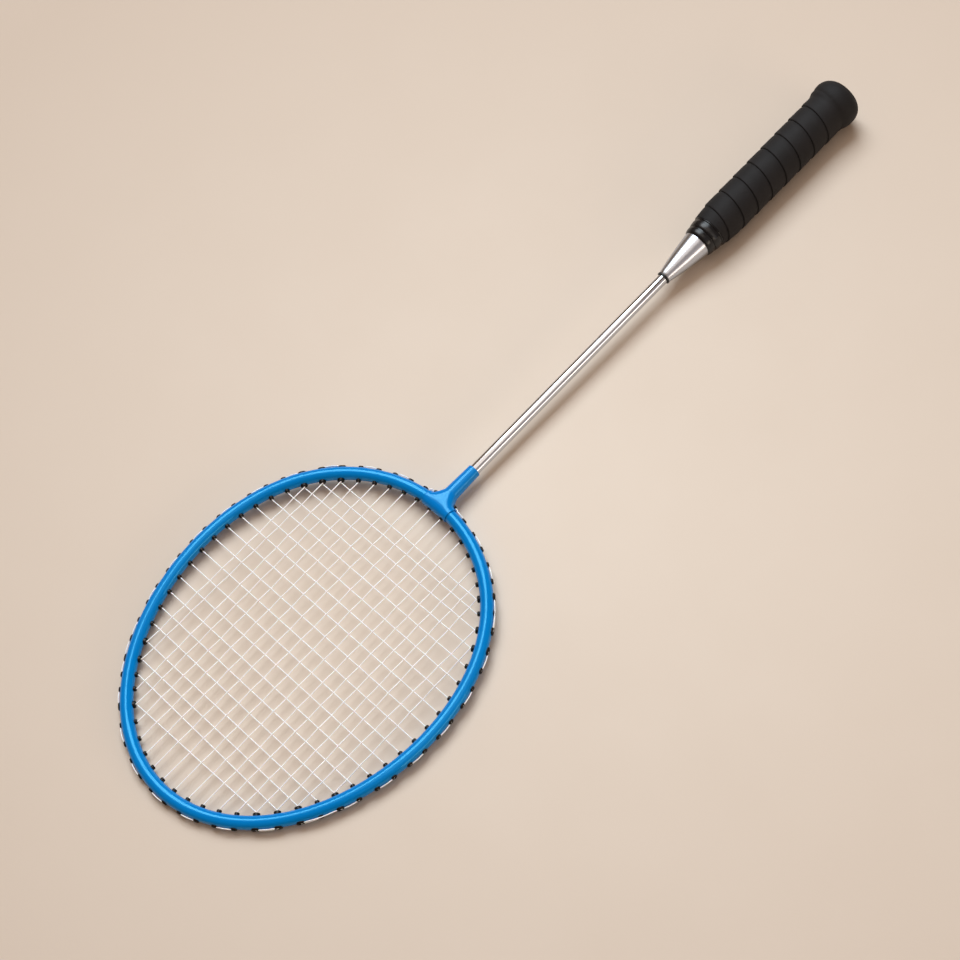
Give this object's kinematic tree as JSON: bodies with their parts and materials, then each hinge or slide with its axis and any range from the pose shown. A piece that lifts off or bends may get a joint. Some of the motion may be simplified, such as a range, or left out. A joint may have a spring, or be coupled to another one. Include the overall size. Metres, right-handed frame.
{
  "type": "badminton racket",
  "caption": "Junior badminton racket: strung oval steel head, plastic T joint, chromed shaft, metal cone and spiral-wrapped flared handle.",
  "frame": {"origin": "the middle of the butt's flat end face", "axes": "+Y along the shaft from the butt to the tip of the head, +Z square to the strings, +X across the head"},
  "size_m": [0.2102, 0.6206, 0.0323],
  "materials": {
    "frame_paint": "glossy blue paint",
    "t_joint_plastic": "glossy moulded blue plastic",
    "shaft_chrome": "bright chrome on steel",
    "cone_metal": "polished",
    "ring_black": "satin black",
    "tape_black": "glossy black tape",
    "grip_black": "soft matt black wrap",
    "cap_black": "satin black",
    "wood": "plain turned wood",
    "string_nylon": "white nylon string",
    "grommet_nylon": "black moulded nylon"
  },
  "bodies": {
    "root": {"butt_cap": "cap_black", "cone_cap": "cone_metal", "cone_ring": "ring_black", "cross_string": "string_nylon", "finishing_tape": "tape_black", "grip_wrap": "grip_black", "grommet_cross_19_minus": "grommet_nylon", "grommet_main_08_throat": "grommet_nylon", "grommet_main_09_throat": "grommet_nylon", "grommet_main_10_throat": "grommet_nylon", "grommet_main_11_throat": "grommet_nylon", "grommets_cross_01_02_minus": "grommet_nylon", "grommets_cross_02_03_plus": "grommet_nylon", "grommets_cross_03_04_minus": "grommet_nylon", "grommets_cross_04_05_plus": "grommet_nylon", "grommets_cross_05_06_minus": "grommet_nylon", "grommets_cross_06_07_plus": "grommet_nylon", "grommets_cross_07_08_minus": "grommet_nylon", "grommets_cross_08_09_plus": "grommet_nylon", "grommets_cross_09_10_minus": "grommet_nylon", "grommets_cross_10_11_plus": "grommet_nylon", "grommets_cross_11_12_minus": "grommet_nylon", "grommets_cross_12_13_plus": "grommet_nylon", "grommets_cross_13_14_minus": "grommet_nylon", "grommets_cross_14_15_plus": "grommet_nylon", "grommets_cross_15_16_minus": "grommet_nylon", "grommets_cross_16_17_plus": "grommet_nylon", "grommets_cross_17_18_minus": "grommet_nylon", "grommets_cross_18_19_plus": "grommet_nylon", "grommets_main_03_04_tip": "grommet_nylon", "grommets_main_04_05_throat": "grommet_nylon", "grommets_main_05_06_tip": "grommet_nylon", "grommets_main_06_07_throat": "grommet_nylon", "grommets_main_07_08_tip": "grommet_nylon", "grommets_main_09_10_tip": "grommet_nylon", "grommets_main_11_12_tip": "grommet_nylon", "grommets_main_12_13_throat": "grommet_nylon", "grommets_main_13_14_tip": "grommet_nylon", "grommets_main_14_15_throat": "grommet_nylon", "handle_core": "wood", "head_frame": "frame_paint", "main_string": "string_nylon", "shaft": "shaft_chrome", "t_joint": "t_joint_plastic"}
  },
  "joints": []
}
